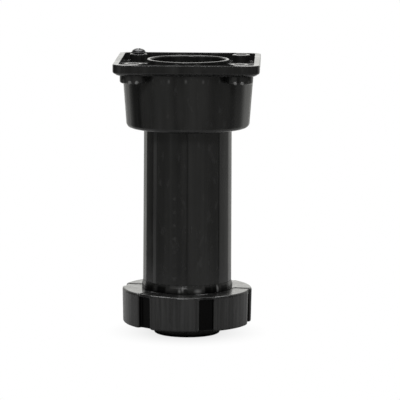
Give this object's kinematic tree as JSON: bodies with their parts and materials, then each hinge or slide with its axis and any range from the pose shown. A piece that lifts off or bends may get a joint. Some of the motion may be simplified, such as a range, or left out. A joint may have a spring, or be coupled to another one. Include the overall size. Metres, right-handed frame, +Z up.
{
  "type": "adjustable cabinet leg",
  "caption": "Black moulded plastic cabinet leg: square screw-on socket, push-in sixteen-sided tube, and a lobed screw foot with a swivelling glide pad.",
  "frame": {"origin": "centre of the glide pad's underside, on the floor", "axes": "+Z up the leg to the mounting plane; -Y is the front, square with the mounting plate's sides"},
  "size_m": [0.0624, 0.0624, 0.1224],
  "materials": {
    "black_moulding": "semi-gloss moulded black plastic",
    "dull_black_moulding": "satin moulded black plastic",
    "dark_screw_steel": "dark plated steel"
  },
  "bodies": {
    "socket": {"mounting_socket": "black_moulding", "corner_screw": "dark_screw_steel"},
    "leg": {"leg_tube": "black_moulding", "thread_bush": "dull_black_moulding"},
    "glide": {"glide_pad": "dull_black_moulding", "pad_clip": "dark_screw_steel"},
    "foot": {"foot_wheel": "black_moulding", "foot_spindle": "dull_black_moulding"}
  },
  "joints": [
    {"name": "leg_pull_out", "type": "slide", "parent": "socket", "child": "leg", "axis": [0, 0, -1], "range_m": [0, 0.02]},
    {"name": "foot_height", "type": "slide", "parent": "leg", "child": "glide", "axis": [0, 0, -1], "range_m": [0, 0.025]},
    {"name": "foot_turn", "type": "hinge", "parent": "glide", "child": "foot", "pos_m": [0, 0, 0.0125], "axis": [0, 0, -1], "range_deg": [0, 1800]}
  ],
  "couplings": [
    {"joint": "foot_height", "follows": "foot_turn", "m_per_rad": 0.00079577}
  ]
}
